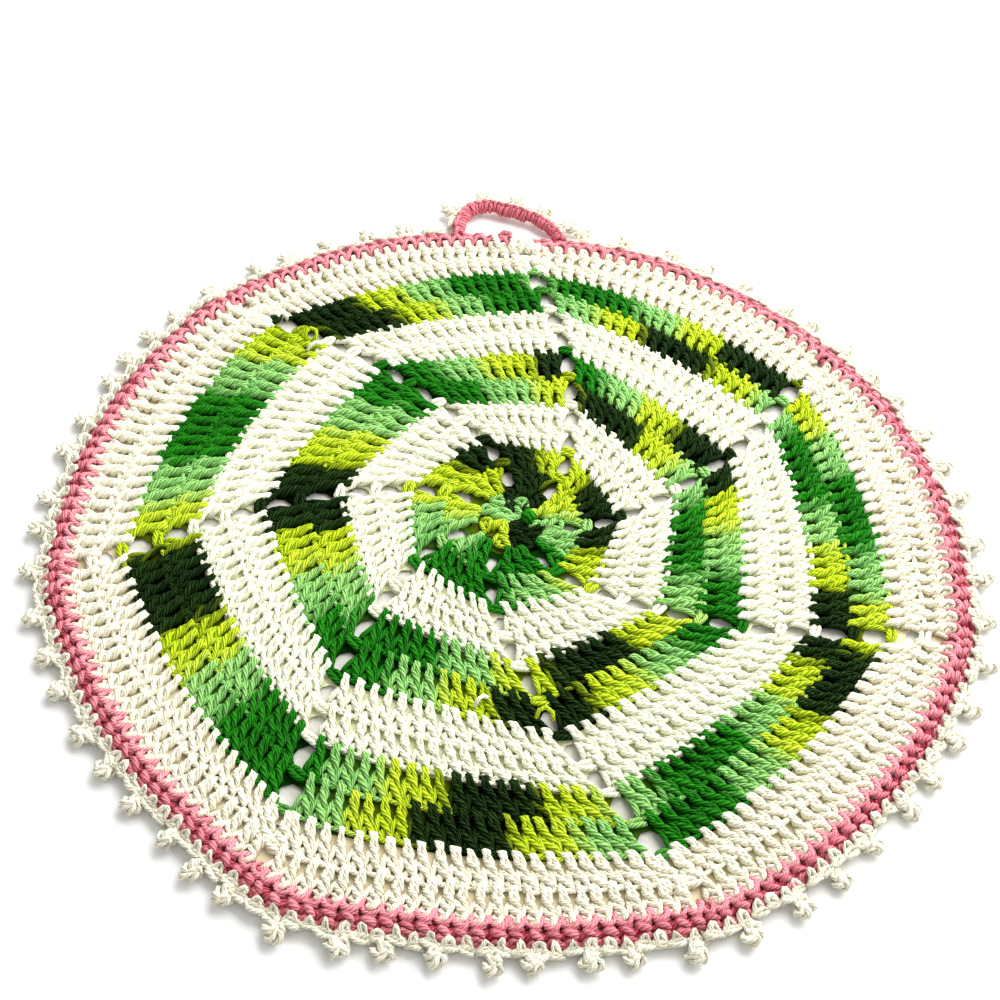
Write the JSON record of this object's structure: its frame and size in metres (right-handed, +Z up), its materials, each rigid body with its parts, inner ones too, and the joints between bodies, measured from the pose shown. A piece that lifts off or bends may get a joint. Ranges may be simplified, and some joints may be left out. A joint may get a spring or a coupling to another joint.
{
  "type": "crocheted pot holder",
  "caption": "Round flat crocheted cotton pot holder: pinwheel of openwork corner spaces, striped rounds, pink border, picot edging and a hanging loop",
  "frame": {"origin": "the middle of the wheel's flat underside, on the surface it lies on", "axes": "+Z is up, away from the surface, through the cloth's thickness; +Y points from the centre towards the hanging loop; +X is to the right of the loop seen from above"},
  "size_m": [0.1705, 0.1757, 0.0035],
  "materials": {
    "green_cotton": "mercerised cotton thread, variegated in dark green, mid green, mint and lime runs, crocheted",
    "white_cotton": "mercerised cotton thread, bleached white, crocheted",
    "cream_cotton": "mercerised cotton thread, off-white, crocheted",
    "pink_cotton": "mercerised cotton thread, rose pink, crocheted"
  },
  "bodies": {
    "root": {"wheel": "green_cotton", "pink_border": "pink_cotton", "picot_edging": "cream_cotton", "hanging_loop": "pink_cotton", "loop_picots": "cream_cotton"}
  },
  "joints": []
}
